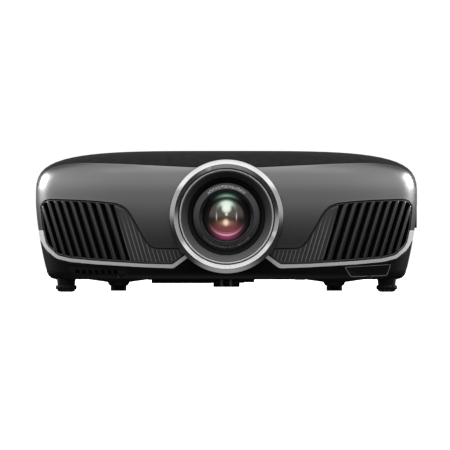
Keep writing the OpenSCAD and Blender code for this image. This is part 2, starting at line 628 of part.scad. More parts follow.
module threaded_inserts() color("#b08d4c") {
    for (x = [-mount_x, mount_x], y = mount_y) difference() {
        post(x, y, under_z, 31, insert_r);
        post(x, y, under_z - 1, 29, m4_r);
    }
    for (x = [-foot_x, foot_x]) difference() {
        post(x, foot_y, 11, 40, 7);
        post(x, foot_y, 10, 41, stud_r + fit);
    }
}
module case_screws() color(steel) for (p = screw_places) {
    post(p[0], p[1], 40.4, 42.8, 3.8);
    post(p[0], p[1], 41, 75, 2);
}

base_case();
top_case();
front_fascia();
vent_grille_left();
vent_grille_right();
trim_strip_left();
trim_strip_right();
lens_ring();
ring_accent();
lens_funnel();
front_vent_insert();
receiver_window();
rear_panel();
connector_panel();
power_inlet();
lamp_cover();
lamp_cover_screw();
lamp_unit();
control_door();
control_panel();
button(power_at);  // button_power
button(source_at);  // button_source
button(menu_at);  // button_menu
button(escape_at);  // button_escape
button(enter_at);  // button_enter
button(up_at);  // button_up
button(down_at);  // button_down
button(left_at);  // button_left
button(right_at);  // button_right
filter_cover();
filter_element();
foot_screw_left();
foot_screw_right();
foot_pad_left();
foot_pad_right();
rear_feet();
case_screws();
threaded_inserts();
optical_engine();
prism_block();
shift_frame_vertical();
shift_frame_horizontal();
lens_barrel();
lens_elements();
focus_ring();
zoom_ring();
lens_motors();
focus_pinion();
zoom_pinion();
lift_screw();
pan_screw();
shutter_left();
shutter_right();
shutter_rails();
exhaust_fan_frame();
exhaust_fan_rotor();
intake_fan_frame();
intake_fan_rotor();
main_board();
power_board();
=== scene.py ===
"""Home-cinema projector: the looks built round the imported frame. Lengths below are in
millimetres on the frame's own axes; the meshes themselves are in metres."""

import json
import math

import bmesh
import bpy
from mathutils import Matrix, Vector


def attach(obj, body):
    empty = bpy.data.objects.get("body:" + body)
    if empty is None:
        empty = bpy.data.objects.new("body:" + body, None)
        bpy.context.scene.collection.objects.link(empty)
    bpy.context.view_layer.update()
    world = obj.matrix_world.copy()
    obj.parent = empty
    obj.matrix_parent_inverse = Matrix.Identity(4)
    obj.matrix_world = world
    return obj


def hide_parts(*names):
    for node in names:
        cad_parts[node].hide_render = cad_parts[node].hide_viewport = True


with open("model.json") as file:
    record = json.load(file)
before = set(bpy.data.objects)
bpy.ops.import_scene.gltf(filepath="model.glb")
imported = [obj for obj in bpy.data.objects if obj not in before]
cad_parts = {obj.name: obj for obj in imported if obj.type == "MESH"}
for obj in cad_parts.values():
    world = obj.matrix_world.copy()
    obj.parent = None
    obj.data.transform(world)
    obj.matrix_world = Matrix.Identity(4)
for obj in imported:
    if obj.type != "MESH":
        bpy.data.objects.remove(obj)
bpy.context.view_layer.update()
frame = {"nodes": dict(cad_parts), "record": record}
MM = 0.001
PER_METRE = 1000.0
LENS_Z = 102.6
FRONT_Y = -225.0

# ---------------------------------------------------------------- casing form
# The casing is round in front and nearly square behind. Above WIDE_Z it closes into a
# domed top, below it leans in to a rounded lower edge, as the frame's casing does.
WIDE_Z = 124.0
TOP_Z = 191.97
UNDER_Z = 17.0
EDGE_R = 9.0
WAIST_Y = -60.0
REAR_Y = 225.0
HALF_W = 260.0
NOSE = 145.0
TAIL = 300.0
SIDE_TAPER = 22.3
CHIN_TAPER = 20.0


def rise(z, deep):
    return min(1.0, max(0.0, z - WIDE_Z) / (TOP_Z - deep - WIDE_Z))


def fall(z):
    return max(0.0, WIDE_Z - z) / WIDE_Z


def dome(z, deep, power):
    return (1 - rise(z, deep) ** power) ** (1 / power)


def edge_in(z, deep):
    up = z - UNDER_Z - deep
    return 0.0 if up >= EDGE_R else EDGE_R - math.sqrt(max(0, EDGE_R ** 2 - (EDGE_R - up) ** 2))


def half_x(z, deep=0.0):
    return (HALF_W - deep) * dome(z, deep, 4) - SIDE_TAPER * fall(z) ** 1.6 - edge_in(z, deep)


def nose_d(z, deep=0.0):
    return (NOSE - deep) * dome(z, deep, 4) - CHIN_TAPER * fall(z) ** 2 - edge_in(z, deep)


def front_point(x, z, deep=0.0):
    """The place on the casing's front, sunk by a depth, at a given X and Z."""
    across = min(1.0, abs(x) / half_x(z, deep))
    return Vector((x, WAIST_Y - nose_d(z, deep) * (1 - across ** 3) ** (1 / 3), z))


def column_point(column, z):
    """The place on the casing's skin at height z on one upright column."""
    side, fx, fy, ahead = column
    if ahead:
        y = WAIST_Y - nose_d(z) * fy
    else:
        y = min(REAR_Y - edge_in(z, 0), WAIST_Y + (TAIL * dome(z, 0, 10) - edge_in(z, 0)) * fy)
    return Vector((side * half_x(z) * fx, y, z))


# Columns run from the middle of the back round the left side to the front and on round
# the right side. They stand closest where the front's seams need them.
VENT_FX = 0.975
COLUMN_STEP = 2.7
fine = [(math.sin(math.radians(k * 0.05)) ** (2 / 3), math.cos(math.radians(k * 0.05)) ** (2 / 3))
        for k in range(1801)]
half = [(0.0, 1.0, True)]
walked = 0.0
for (xa, ya), (xb, yb) in zip(fine, fine[1:]):
    walked += math.hypot(HALF_W * (xb - xa), NOSE * (yb - ya))
    if walked > COLUMN_STEP:
        walked = 0.0
        half.append((xb, yb, True))
vent_column = min(range(len(half)), key=lambda n: abs(half[n][0] - VENT_FX))
half[vent_column] = (VENT_FX, (1 - VENT_FX ** 3) ** (1 / 3), True)
half[-1] = (1.0, 0.0, True)
cheek_column = len(half)
for y in [-50, -40, -25, -10] + list(range(5, 185, 12)) + [188, 195, 201, 207, 212, 217, 221]:
    fy = (y - WAIST_Y) / TAIL
    half.append(((1 - fy ** 10) ** 0.1, fy, False))
for x in [237.2, 232, 226, 218] + list(range(206, -1, -14)) + [0]:
    half.append((x / HALF_W, (1 - (x / HALF_W) ** 10) ** 0.1, False))
columns = [(-1, *c) for c in half[:0:-1]] + [(1, *c) for c in half]
MIDDLE = len(half) - 1

# ---------------------------------------------------------------- seam lines on the front
# Height of each seam as a function of X, and the rows of the casing's skin between them.
BROW = [(43, 169.3), (140, 174), (195, 175.7), (222, 173.6), (231, 171.5), (240.6, 168), (249.7, 161.4),
        (255.3, 152), (258.3, 138.6), (260.2, 127), (262, 126)]
SILL = [(50, 48.5), (71.6, 31.9), (112.7, 33.4), (176.5, 37.3), (213, 40.6), (231.3, 45.2),
        (245.9, 57.1), (254.2, 71.7), (262, 73)]
TRIM_TOP = [(50, 54.6), (73.4, 37.6), (112.5, 38.4), (176, 42.3), (212.3, 45.6), (229.2, 49.6),
            (242.4, 60.4), (249.5, 73), (251.5, 84), (262, 84)]
VENT_TOP = [(60, 59.2), (96, 59.8), (101, 61.5), (107, 67), (115, 80), (127.2, 102), (133, 111), (140, 117),
            (150, 120.6), (172, 123), (195, 124.6), (240, 126.3), (249, 124), (252, 118), (253.4, 115),
            (262, 121)]
CHEEK_TRIM = 84.0
CHEEK_VENT = 121.0


def along(points, x):
    if x <= points[0][0]:
        return points[0][1]
    for (xa, za), (xb, zb) in zip(points, points[1:]):
        if x <= xb:
            return za + (zb - za) * (x - xa) / (xb - xa)
    return points[-1][1]


def eased(points, x, reach):
    return sum(along(points, x + reach * k / 3) for k in range(-3, 4)) / 7


def seam_height(points, column, reach, start):
    z = start
    for _ in range(60):
        z = 0.5 * z + 0.5 * eased(points, half_x(z) * column[1], reach)
    return z


def column_rows(column):
    """The heights of all rows on one column, from the lower edge to the top."""
    ahead = column[3]
    use = column if ahead else (1, 1.0, 0.0, True)
    sill = seam_height(SILL, use, 2.5, 40)
    trim = CHEEK_TRIM if use[1] >= VENT_FX else seam_height(TRIM_TOP, use, 2.5, 45)
    vent = CHEEK_VENT if not ahead else seam_height(VENT_TOP, use, 2.0, 100)
    brow = seam_height(BROW, use, 6, 160)
    heights = [UNDER_Z, 18.2, 21.5, 26.0] + [26 + (sill - 26) * k / 6 for k in range(1, 7)]
    heights += [sill + (trim - sill) * k / 2 for k in (1, 2)]
    heights += [trim + (vent - trim) * k / 12 for k in range(1, 13)]
    heights += [vent + (brow - vent) * k / 20 for k in range(1, 21)]
    lean = dome(brow, 0, 4)
    for k in range(1, 21):
        s = lean * math.cos(math.radians(90 * k / 20))
        heights.append(WIDE_Z + (TOP_Z - WIDE_Z) * (1 - s ** 4) ** 0.25)
    return heights


SILL_ROW, TRIM_ROW, VENT_ROW, BROW_ROW, TOP_ROW = 9, 11, 23, 43, 63
places = []
for column in columns:
    places.append([column_point(column, z) for z in column_rows(column)])


# ---------------------------------------------------------------- shared material effects
# Wear, grain and dust that several materials share, each a group with named sockets.
def grey(level):
    """Linear value of a screen level from 0 to 255."""
    s = level / 255
    return s / 12.92 if s <= 0.04045 else ((s + 0.055) / 1.055) ** 2.4


def shade(r, g=None, b=None):
    return (grey(r), grey(r if g is None else g), grey(r if b is None else b), 1.0)


def new_group(name, sockets):
    tree = bpy.data.node_groups.new(name, "ShaderNodeTree")
    for label, kind, way, value in sockets:
        made = tree.interface.new_socket(label, in_out=way, socket_type=kind)
        if value is not None:
            made.default_value = value
    return tree, tree.nodes.new("NodeGroupInput"), tree.nodes.new("NodeGroupOutput")


def put(tree, kind, wires=(), **values):
    """Adds a node; wires are (socket, source) pairs and values are plain settings."""
    node = tree.nodes.new(kind)
    for key, value in values.items():
        setattr(node, key, value)
    for key, source in wires:
        if hasattr(source, "links"):
            tree.links.new(source, node.inputs[key])
        else:
            node.inputs[key].default_value = source
    return node


def sums(tree, operation, *terms):
    return put(tree, "ShaderNodeMath", list(enumerate(terms)), operation=operation).outputs[0]


def blend(tree, factor, a, b):
    return put(tree, "ShaderNodeMix", [(0, factor), (6, a), (7, b)], data_type="RGBA").outputs[2]


F, C, V = "NodeSocketFloat", "NodeSocketColor", "NodeSocketVector"
grain, gin, gout = new_group("Mould grain", [
    ("Position", V, "INPUT", None), ("Size", F, "INPUT", 1600.0), ("Height", F, "OUTPUT", None),
    ("Cloud", F, "OUTPUT", None)])
fine_noise = put(grain, "ShaderNodeTexNoise", [("Vector", gin.outputs["Position"]),
                                               ("Scale", gin.outputs["Size"]), ("Detail", 2.0)])
wide_noise = put(grain, "ShaderNodeTexNoise", [("Vector", gin.outputs["Position"]), ("Scale", 14.0)])
grain.links.new(fine_noise.outputs["Fac"], gout.inputs["Height"])
grain.links.new(wide_noise.outputs["Fac"], gout.inputs["Cloud"])

rub, rin, rout = new_group("Rubbed edges", [
    ("Colour", C, "INPUT", None), ("Rubbed", C, "INPUT", None), ("Amount", F, "INPUT", 0.3),
    ("Colour", C, "OUTPUT", None)])
shape = put(rub, "ShaderNodeNewGeometry")
crest = put(rub, "ShaderNodeMapRange", [("Value", shape.outputs["Pointiness"]), ("From Min", 0.52),
                                        ("From Max", 0.6)]).outputs[0]
rub.links.new(blend(rub, sums(rub, "MULTIPLY", crest, rin.outputs["Amount"]), rin.outputs["Colour"],
                    rin.outputs["Rubbed"]), rout.inputs["Colour"])

dust, din, dout = new_group("Settled dust", [
    ("Position", V, "INPUT", None), ("Colour", C, "INPUT", None), ("Roughness", F, "INPUT", 0.4),
    ("Amount", F, "INPUT", 0.1), ("Colour", C, "OUTPUT", None), ("Roughness", F, "OUTPUT", None)])
facing = put(dust, "ShaderNodeSeparateXYZ", [(0, put(dust, "ShaderNodeNewGeometry").outputs["Normal"])])
specks = put(dust, "ShaderNodeTexNoise", [("Vector", din.outputs["Position"]), ("Scale", 90.0),
                                          ("Detail", 5.0)]).outputs["Fac"]
upward = sums(dust, "MAXIMUM", facing.outputs["Z"], 0.0)
cover = sums(dust, "MULTIPLY", sums(dust, "MULTIPLY", upward, specks), din.outputs["Amount"])
dust.links.new(blend(dust, cover, din.outputs["Colour"], shade(150, 147, 142)), dout.inputs["Colour"])
dust.links.new(sums(dust, "ADD", din.outputs["Roughness"], sums(dust, "MULTIPLY", cover, 0.8)),
               dout.inputs["Roughness"])

# Mask of the faces that look up; surface() uses it to paint shade on the faces that don't.
upturn, uin, uout = new_group("Upward facing", [
    ("From", F, "INPUT", 0.3), ("To", F, "INPUT", 0.42), ("Mask", F, "OUTPUT", None)])
lift = put(upturn, "ShaderNodeSeparateXYZ", [(0, put(upturn, "ShaderNodeNewGeometry").outputs["Normal"])])
rising = put(upturn, "ShaderNodeMapRange", [("Value", lift.outputs["Z"]), ("From Min", uin.outputs["From"]),
                                            ("From Max", uin.outputs["To"])], interpolation_type="SMOOTHSTEP")
upturn.links.new(rising.outputs[0], uout.inputs["Mask"])


def surface(name, colour, roughness, metallic=0.0, grain_size=1600.0, grain_height=0.02, dusty=0.08,
            rubbed=0.25, coat=0.0, vary=0.16, shine=0.5, below=None):
    """A moulded, painted or metal surface with grain, worn edges and a little dust. With below, a colour and
    two slopes, faces that don't look up take that colour instead: a painted shade, as if light fell only on
    the upper faces."""
    mat = bpy.data.materials.new(name)
    mat.use_nodes = True
    tree = mat.node_tree
    shader = tree.nodes["Principled BSDF"]
    place = put(tree, "ShaderNodeTexCoord").outputs["Object"]
    grains = put(tree, "ShaderNodeGroup", node_tree=grain)
    tree.links.new(place, grains.inputs["Position"])
    grains.inputs["Size"].default_value = grain_size
    darker = tuple(c * (1 - vary) for c in colour[:3]) + (1.0,)
    base = blend(tree, grains.outputs["Cloud"], darker, colour)
    # Painted shade: faces that don't look up take the darker below colour.
    if below:
        upper_faces = put(tree, "ShaderNodeGroup", node_tree=upturn)
        upper_faces.inputs["From"].default_value = below[1]
        upper_faces.inputs["To"].default_value = below[2]
        base = blend(tree, upper_faces.outputs["Mask"], below[0], base)
    worn = put(tree, "ShaderNodeGroup", node_tree=rub)
    tree.links.new(base, worn.inputs["Colour"])
    worn.inputs["Rubbed"].default_value = tuple(min(1, c * 2.2 + 0.02) for c in colour[:3]) + (1.0,)
    worn.inputs["Amount"].default_value = rubbed
    laid = put(tree, "ShaderNodeGroup", node_tree=dust)
    tree.links.new(place, laid.inputs["Position"])
    tree.links.new(worn.outputs["Colour"], laid.inputs["Colour"])
    spread = sums(tree, "MULTIPLY_ADD", grains.outputs["Cloud"], 0.08, roughness - 0.04)
    tree.links.new(spread, laid.inputs["Roughness"])
    laid.inputs["Amount"].default_value = dusty
    tree.links.new(laid.outputs["Colour"], shader.inputs["Base Color"])
    tree.links.new(laid.outputs["Roughness"], shader.inputs["Roughness"])
    bump = put(tree, "ShaderNodeBump", [("Height", grains.outputs["Height"]), ("Strength", grain_height),
                                        ("Distance", 0.0004)])
    tree.links.new(bump.outputs["Normal"], shader.inputs["Normal"])
    shader.inputs["Metallic"].default_value = metallic
    shader.inputs["Coat Weight"].default_value = coat
    shader.inputs["Specular IOR Level"].default_value = shine
    return mat


case_black = surface("Case black", shade(13, 13, 14), 0.44, grain_height=0.12, shine=0.09)
fascia_paint = surface("Fascia paint", shade(120), 0.3, metallic=0.95, grain_height=0.03)
grille_black = surface("Grille black", shade(30), 0.36, grain_height=0.05, dusty=0.03, shine=0.6)
panel_grey = surface("Panel grey", shade(56, 56, 57), 0.42, grain_height=0.05)
trim_silver = surface("Trim silver", shade(222), 0.5, metallic=0.3, grain_height=0.02)
# Ring metal: painted highlight and shade. Faces that look up are bright, the flanks and lower faces take a
# darker painted shade.
ring_metal = surface("Ring metal", shade(216), 0.22, metallic=0.95, grain_height=0.02, dusty=0.0, vary=0.05,
                     below=(shade(142), 0.3, 0.42))
well_black = surface("Well black", shade(9), 0.6, grain_height=0.1, dusty=0.0, shine=0.1)
# Funnel grey: painted shade. Faces that look down are painted dark, faces that look up light.
funnel_grey = surface("Funnel grey", shade(112), 0.5, grain_height=0.05, dusty=0.0, shine=0.3,
                       below=(shade(52), -0.9, 1.2))
insert_black = surface("Insert black", shade(9), 0.5, grain_height=0.05, dusty=0.0, shine=0.12)
bracket_grey = surface("Bracket grey", shade(84), 0.45, grain_height=0.05)
clear_glass = surface("Prism glass", shade(150, 178, 186), 0.05, grain_height=0.0, coat=0.5)
rubber = surface("Rubber", shade(14), 0.75, grain_size=700.0, grain_height=0.3, dusty=0.0, shine=0.1)


# ---------------------------------------------------------------- casing halves
# Two injection mouldings of black ABS, 3 mm thick, that meet at a seam on the sides and
# are held by screws from below. The upper one is the plain domed lid.
def sheet(nx, ny, place, keep=None):
    """A grid of faces whose corner (i, j) goes to place(i, j); keep(i, j) picks its faces."""
    bm = bmesh.new()
    bmesh.ops.create_grid(bm, x_segments=nx, y_segments=ny, size=1)
    if keep:
        gone = []
        for face in bm.faces:
            middle = face.calc_center_median()
            if not keep(int((middle.x + 1) * nx / 2), int((middle.y + 1) * ny / 2)):
                gone.append(face)
        bmesh.ops.delete(bm, geom=gone, context="FACES")
    for vert in bm.verts:
        i = round((vert.co.x + 1) * nx / 2)
        j = round((vert.co.y + 1) * ny / 2)
        vert.co = Vector(place(i, j)) * MM
    bmesh.ops.remove_doubles(bm, verts=bm.verts, dist=1e-6)
    return bm


def inside(outline, a, b):
    hit = False
    for (xa, za), (xb, zb) in zip(outline, outline[1:] + outline[:1]):
        if (za > b) != (zb > b) and a < xa + (xb - xa) * (b - za) / (zb - za):
            hit = not hit
    return hit


def cut(bm, outline, axes, where, reach=16.0):
    """Cuts a closed outline, given on two axes, through the faces that pass where()."""
    p, q = axes
    for (pa, qa), (pb, qb) in zip(outline, outline[1:] + outline[:1]):
        start = Vector((pa, qa))
        way = Vector((pb - pa, qb - qa))
        near = []
        for face in bm.faces:
            co = face.calc_center_median() / MM
            if where(co):
                off = Vector((co[p], co[q])) - start
                t = min(1, max(0, off.dot(way) / way.length_squared))
                if (off - way * t).length < reach:
                    near.append(face)
        normal = [0, 0, 0]
        normal[p], normal[q] = -way.y, way.x
        spot = [0, 0, 0]
        spot[p], spot[q] = pa * MM, qa * MM
        touched = {e for f in near for e in f.edges} | {v for f in near for v in f.verts}
        bmesh.ops.bisect_plane(bm, geom=near + list(touched), dist=1e-7, plane_co=spot, plane_no=normal)
    gone = []
    for face in bm.faces:
        co = face.calc_center_median() / MM
        if where(co) and inside(outline, co[p], co[q]):
            gone.append(face)
    bmesh.ops.delete(bm, geom=gone, context="FACES")


def ease_rim(bm, gap, chamfer=0.4):
    """Draws the free edges back by a small gap, which opens the seams between pieces, and
    gives each of them a small chamfer."""
    bmesh.ops.dissolve_degenerate(bm, edges=bm.edges, dist=0.12 * MM)
    bm.normal_update()
    moves = []
    for vert in bm.verts:
        if vert.is_boundary and vert.link_faces:
            heart = sum((f.calc_center_median() for f in vert.link_faces), Vector()) / len(vert.link_faces)
            moves.append((vert, (heart - vert.co).normalized(), vert.normal.copy()))
    drops = {}
    for vert, inward, normal in moves:
        vert.co += inward * (gap + chamfer / 2) * MM
        drops[tuple(vert.co)] = (-inward / 2 - normal) * chamfer * MM
    rim = [e for e in bm.edges if e.is_boundary]
    made = bmesh.ops.extrude_edge_only(bm, edges=rim)
    for item in made["geom"]:
        if isinstance(item, bmesh.types.BMVert):
            item.co += drops[tuple(item.co)]
    for edge in rim:
        edge.smooth = False


def circle(radius, steps, a=0.0, b=0.0):
    return [(a + radius * math.cos(math.tau * k / steps), b + radius * math.sin(math.tau * k / steps))
            for k in range(steps)]


def piece(name, bm, mat, body="root", replaces=(), wall=0.0, bevel=0.0, segments=2, closed=False):
    """Turns a bmesh into a finished piece that rides on a body of the frame."""
    if closed:
        bmesh.ops.recalc_face_normals(bm, faces=bm.faces)
    for face in bm.faces:
        face.smooth = True
    mesh = bpy.data.meshes.new(name)
    bm.to_mesh(mesh)
    bm.free()
    obj = bpy.data.objects.new(name, mesh)
    bpy.context.collection.objects.link(obj)
    mesh.materials.append(mat)
    if wall:
        thick = obj.modifiers.new("Wall", "SOLIDIFY")
        thick.thickness = wall * MM
        thick.offset = -1
    if bevel:
        soft = obj.modifiers.new("Soft edges", "BEVEL")
        soft.width = bevel * MM
        soft.segments = segments
        soft.limit_method = "ANGLE"
        soft.angle_limit = math.radians(38)
        soft.harden_normals = closed
    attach(obj, body)
    if replaces:
        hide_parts(*replaces)
    return obj


NX = len(columns) - 1


def ahead_of_cheek(i):
    return abs(i + 0.5 - MIDDLE) < cheek_column


def beside_vent(i):
    return abs(i + 0.5 - MIDDLE) < vent_column


def at_front(co):
    return co.y < -120


RING_HOLE = circle(77.3, 72, 0, LENS_Z)


def skin(keep):
    return sheet(NX, TOP_ROW, lambda i, j: places[i][j], keep)


upper = skin(lambda i, j: j >= BROW_ROW or (j >= VENT_ROW and not ahead_of_cheek(i)))
cut(upper, RING_HOLE, (0, 2), at_front)
ease_rim(upper, 0.25)
piece("casing_upper", upper, case_black, replaces=["top_case"], wall=3)

lower = skin(lambda i, j: j < SILL_ROW or (j < VENT_ROW and not ahead_of_cheek(i)))
cut(lower, RING_HOLE, (0, 2), at_front)
INSERT = [(-216.7, 36), (-211, 26), (-191, 23.3), (-140, 21.5), (-132, 29.7)]
WINDOW = [(160.8, 33.4), (169, 21), (217.5, 22.4), (223, 37.1)]
cut(lower, INSERT, (0, 2), at_front)
cut(lower, WINDOW, (0, 2), at_front)
cut(lower, [(-200, 26), (200, 26), (200, 108), (-200, 108)], (0, 2), lambda co: co.y > 205)
cut(lower, [(92, 42), (178, 42), (178, 104), (92, 104)], (1, 2), lambda co: co.x < -200 and co.y < 200)
cut(lower, [(-40, 86), (60, 86), (60, 116), (-40, 116)], (1, 2), lambda co: co.x > 200)
rim_edges = [e for e in lower.edges if e.is_boundary and max(v.co.z for v in e.verts) < 17.05 * MM]
bmesh.ops.edgeloop_fill(lower, edges=rim_edges)
FOOT_X, FOOT_Y = 218, -118
SOCKETS = [(x * s, y) for s in (-1, 1) for x, y in ((FOOT_X, FOOT_Y), (222, 188), (226, -40), (100, -120),
                                                  (100, -80), (100, 110))]
for x, y in SOCKETS:
    wide = 6.6 if abs(x) == FOOT_X else 4.2
    cut(lower, [(x - wide, y - wide), (x + wide, y - wide), (x + wide, y + wide), (x - wide, y + wide)],
        (0, 1), lambda co: co.z < 17.1, 900)
ease_rim(lower, 0.25)
piece("casing_lower", lower, case_black, replaces=["base_case"], wall=3)


# ---------------------------------------------------------------- underside
# Collars, bosses and ribs of the lower moulding. They hold the feet and the screws and
# let air pass below the casing.
def turned(profile, centre=(0, 0, 0), axis=(0, 1, 0), steps=96, closed=True):
    """A closed profile of (radius, distance along the axis) spun once round the axis."""
    bm = bmesh.new()
    out = Vector((1, 0, 0))
    verts = [bm.verts.new((Vector(centre) + out * r + Vector(axis) * d) * MM) for r, d in profile]
    links = list(zip(verts, verts[1:])) + ([(verts[-1], verts[0])] if closed else [])
    edges = [bm.edges.new(pair) for pair in links]
    bmesh.ops.spin(bm, geom=verts + edges, cent=Vector(centre) * MM, axis=axis, angle=math.tau,
                   steps=steps, use_merge=True)
    bmesh.ops.remove_doubles(bm, verts=bm.verts, dist=1e-6)
    return bm


def box(low, high):
    bm = bmesh.new()
    bmesh.ops.create_cube(bm, size=1)
    low, high = Vector(low), Vector(high)
    for vert in bm.verts:
        vert.co = Vector(((low + high)[k] / 2 + vert.co[k] * (high - low)[k] for k in range(3))) * MM
    return bm


UP = (0, 0, 1)
for n, (x, y) in enumerate(SOCKETS):
    if abs(x) == FOOT_X:
        bm = turned([(7.4, 9.5), (12, 9.5), (12.9, 18), (7.4, 18)], (x, y, 0), UP, 48)
    else:
        bore = 5.2 if y in (-80, 110) else 4.4
        bm = turned([(bore, 16.2), (6.8, 16.2), (7.2, 17.2), (bore, 17.2)], (x, y, 0), UP, 40)
    piece(f"boss_{n}", bm, case_black, replaces=["base_case"], bevel=0.3, closed=True)
REAR_FOOT_X = 149
for s in (-1, 1):
    skirt = turned([(10, 11.8), (14, 11.8), (52, 17.2), (10, 17.2)], (REAR_FOOT_X * s, 160, 0), UP, 64)
    piece(f"skirt_{s + 1}", skirt, case_black, replaces=["base_case"], bevel=0.5,
          closed=True)
    collar = turned([(11.2, 6.95), (12.5, 6.95), (18.6, 17.2), (11.2, 17.2)],
                    (REAR_FOOT_X * s, 190, 0), UP, 64)
    piece(f"foot_skirt_{s + 1}", collar, case_black, replaces=["base_case"], bevel=0.4,
          closed=True)
RIBS = [((-18, -110, 6.5), (18, -50, 17.4)), ((-24, -120, 12), (24, -40, 17.3)),
        ((-102, -90, 11.5), (-20, 60, 17.3)), ((22, -90, 12.8), (38, 60, 17.3)),
        ((-8.4, -121.2, 7), (-4.6, -109, 17.4)), ((4, -121.2, 7), (7.8, -109, 17.4))]
for n, (low, high) in enumerate(RIBS):
    finish = bracket_grey if n > 3 else case_black
    piece(f"rib_{n}", box(low, high), finish, replaces=["base_case"], bevel=0.8, segments=3,
          closed=True)

# ---------------------------------------------------------------- front feet
# Each is a black grip disc with twelve finger notches on an M8 stud, which screws into
# the casing and turns on a domed rubber pad.
for label, x in (("left", -FOOT_X), ("right", FOOT_X)):
    screw = f"foot_screw_{label}"
    disc = turned([(3.9, 2.75), (11.8, 2.75), (13.6, 3.3), (14.5, 4.6), (14.5, 7.6), (13.7, 8.9),
                   (12.2, 9.45), (3.9, 9.45)], (x, FOOT_Y, 0), UP, 144)
    for vert in disc.verts:
        off = Vector((vert.co.x - x * MM, vert.co.y - FOOT_Y * MM, 0))
        if off.length > 13 * MM:
            notch = max(0, math.cos(12 * math.atan2(off.y, off.x))) ** 2
            vert.co -= off.normalized() * 1.3 * notch * MM
    piece(f"foot_disc_{label}", disc, case_black, body=screw, replaces=[screw],
          closed=True)
    stud = turned([(0, 9), (4, 9), (4, 37.4), (3.4, 38), (0, 38)], (x, FOOT_Y, 0), UP, 32, closed=False)
    piece(f"foot_stud_{label}", stud, case_black, body=screw, replaces=[screw],
          closed=True)
    pad = turned([(0, 0), (7.5, 0), (10, 0.5), (11.7, 1.5), (12.1, 2.7), (0, 2.7)], (x, FOOT_Y, 0), UP, 64,
                 closed=False)
    piece(f"foot_rubber_{label}", pad, rubber, body=f"foot_pad_{label}", replaces=[f"foot_pad_{label}"],
          closed=True)

# ---------------------------------------------------------------- fascia and trim
# A separate front moulding in dark metallic paint, clipped to both casing halves, over
# two silver-painted strips that run under the grilles up to the widest part.
fascia = skin(lambda i, j: ahead_of_cheek(i) and (VENT_ROW <= j < BROW_ROW
                                                  or (TRIM_ROW <= j < VENT_ROW and not beside_vent(i))))
cut(fascia, RING_HOLE, (0, 2), at_front)
ease_rim(fascia, 0.25)
piece("fascia", fascia, fascia_paint, replaces=["front_fascia"], wall=3)
for label, side in (("left", -1), ("right", 1)):
    strip = skin(lambda i, j: (ahead_of_cheek(i) and SILL_ROW <= j < TRIM_ROW
                               and (i + 0.5 - MIDDLE) * side > 0))
    cut(strip, RING_HOLE, (0, 2), at_front)
    ease_rim(strip, 0.2)
    piece(f"trim_{label}", strip, trim_silver, replaces=[f"trim_strip_{label}"], wall=3)

# ---------------------------------------------------------------- air grilles
# Satin black mouldings set into the fascia: a rim, nine deep slanted vanes and a panel
# of fine ribs beside the lens, with a dark mesh behind.
SLANT = 0.3
SLANT_Z = 121
RIB_PITCH = 5.6
FIRST_RIB = 147.5
first = next(i for i in range(MIDDLE, NX) if places[i][TRIM_ROW].x > 57)
last = MIDDLE + vent_column
outline = [(places[i][VENT_ROW].x, places[i][VENT_ROW].z) for i in range(first, last + 1)]
outline += [(places[last][j].x, places[last][j].z) for j in range(VENT_ROW - 1, TRIM_ROW, -1)]
outline += [(places[i][TRIM_ROW].x, places[i][TRIM_ROW].z) for i in range(last, first - 1, -1)]


def spaced(loop, step):
    """Evenly spaced points along a closed loop."""
    out = []
    carry = 0.0
    for (xa, za), (xb, zb) in zip(loop, loop[1:] + loop[:1]):
        long = math.hypot(xb - xa, zb - za)
        while carry < long:
            out.append((xa + (xb - xa) * carry / long, za + (zb - za) * carry / long))
            carry += step
        carry -= long
    return out


def rounded(loop, rounds):
    for _ in range(rounds):
        n = len(loop)
        loop = [tuple((loop[k - 1][m] + 2 * loop[k][m] + loop[(k + 1) % n][m]) / 4 for m in (0, 1))
                for k in range(n)]
    return loop


def inset(loop, by):
    out = []
    for k, (x, z) in enumerate(loop):
        xa, za = loop[k - 1]
        xb, zb = loop[(k + 1) % len(loop)]
        long = math.hypot(xb - xa, zb - za)
        out.append((x + by * (zb - za) / long, z - by * (xb - xa) / long))
    return out


rim = rounded(spaced(outline, 1.6), 3)
opening = inset(rounded(rim, 6), 2.9)


def span(x_at):
    """Lowest and highest Z at which the line x_at(z) lies inside the opening."""
    hits = [z / 4 for z in range(120, 520) if inside(opening, x_at(z / 4), z / 4)]
    return (hits[0], hits[-1]) if hits else None


RIM_SECTION = [(-2.6, 3.5), (0.6, 3.4), (0.8, 1.9), (1.2, 1.3), (1.9, 1.1), (2.6, 1.4), (3.0, 2.2),
               (3.2, 3.6), (3.5, 15.0), (2.4, 15.0), (1.8, 5.4), (-2.6, 4.6)]
VANE_SECTION = [(0, 3.4), (-0.05, 2.0), (-0.4, 1.25), (-1.4, 1.0), (-3.0, 1.15), (-4.8, 1.9), (-6.5, 3.3),
                (-7.9, 5.6), (-9.0, 9.0), (-9.8, 13), (-8.4, 13), (-7.2, 9.4), (-5.0, 6.6), (-2.4, 5.2),
                (-0.4, 4.6)]
